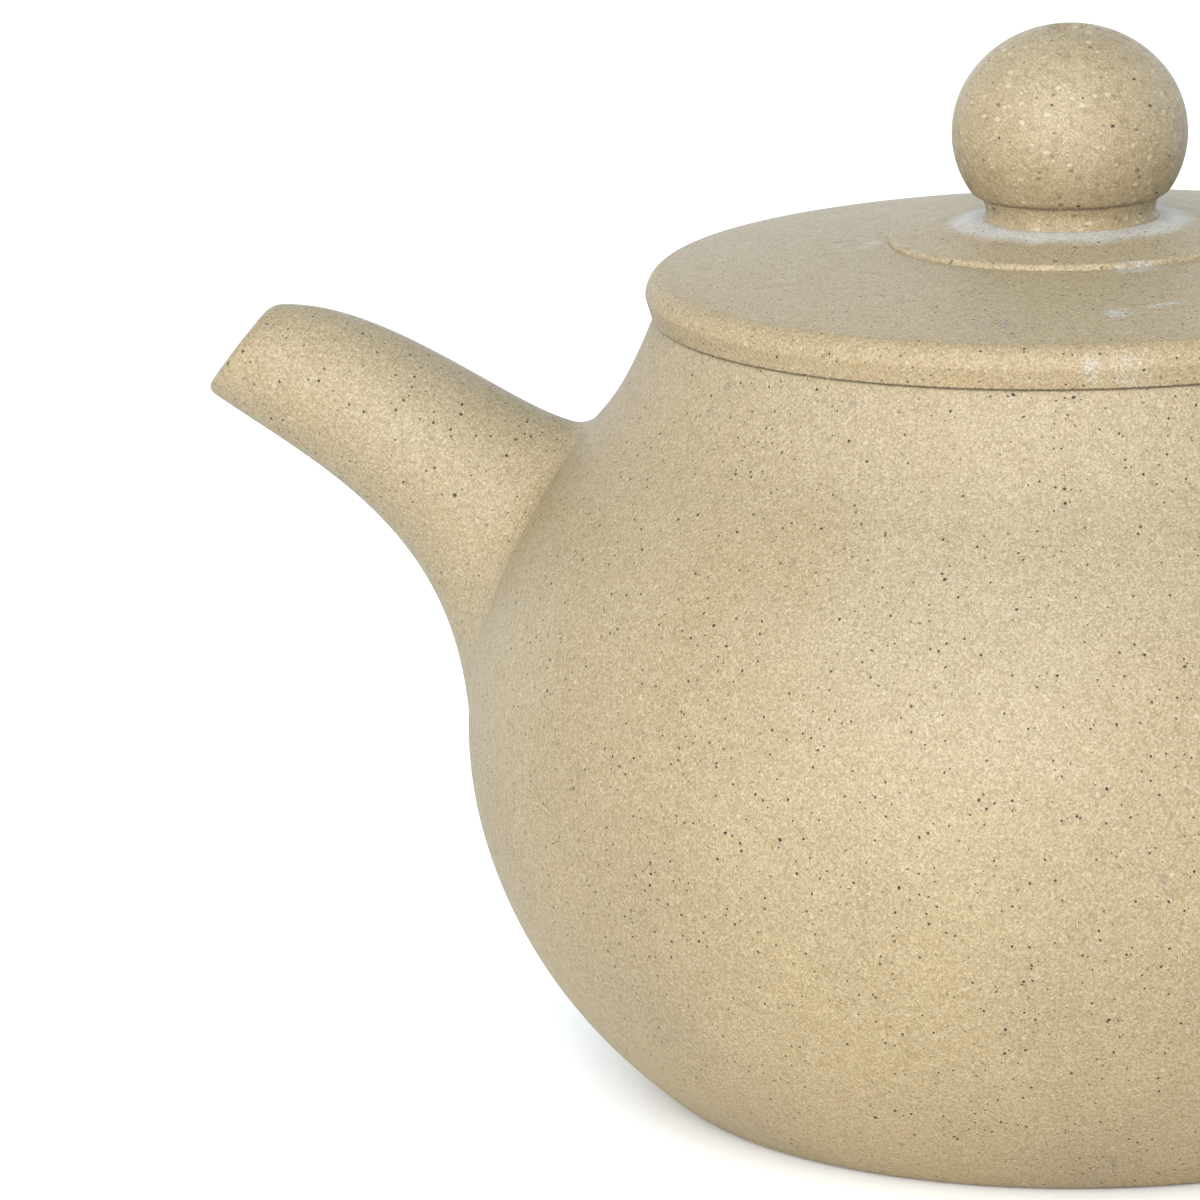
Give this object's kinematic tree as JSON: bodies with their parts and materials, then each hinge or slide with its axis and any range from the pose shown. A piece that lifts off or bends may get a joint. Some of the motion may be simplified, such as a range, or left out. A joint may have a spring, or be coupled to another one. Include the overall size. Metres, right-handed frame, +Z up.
{
  "type": "yixing teapot",
  "caption": "Squat round unglazed clay teapot with a short S-curved spout, an ear handle and a flat lift-off lid with a ball knob.",
  "frame": {"origin": "centre of the base on the surface that the pot stands on, midway between the tip of the spout and the outside of the handle", "axes": "+Z up along the pot's turning axis, +X towards the handle, so the spout points along -X, and +Y away from the picture's viewer"},
  "size_m": [0.129, 0.09, 0.0779],
  "materials": {
    "body_clay": "matte unglazed, fine speckle",
    "lid_clay": "matte unglazed, fine speckle",
    "knob_clay": "matte unglazed, fine speckle"
  },
  "bodies": {
    "pot": {"base_disc": "body_clay", "belly_wall": "body_clay", "shoulder_disc": "body_clay", "mouth_ring": "body_clay", "spout": "body_clay", "strainer_ball": "body_clay", "handle": "body_clay"},
    "lid": {"lid_flange": "lid_clay", "lid_disc": "lid_clay", "lid_pad": "lid_clay", "knob_collar": "knob_clay", "knob_ball": "knob_clay"}
  },
  "joints": [
    {"name": "lid_lift", "type": "slide", "parent": "pot", "child": "lid", "axis": [0, 0, 1], "range_m": [0, 0.06]}
  ]
}
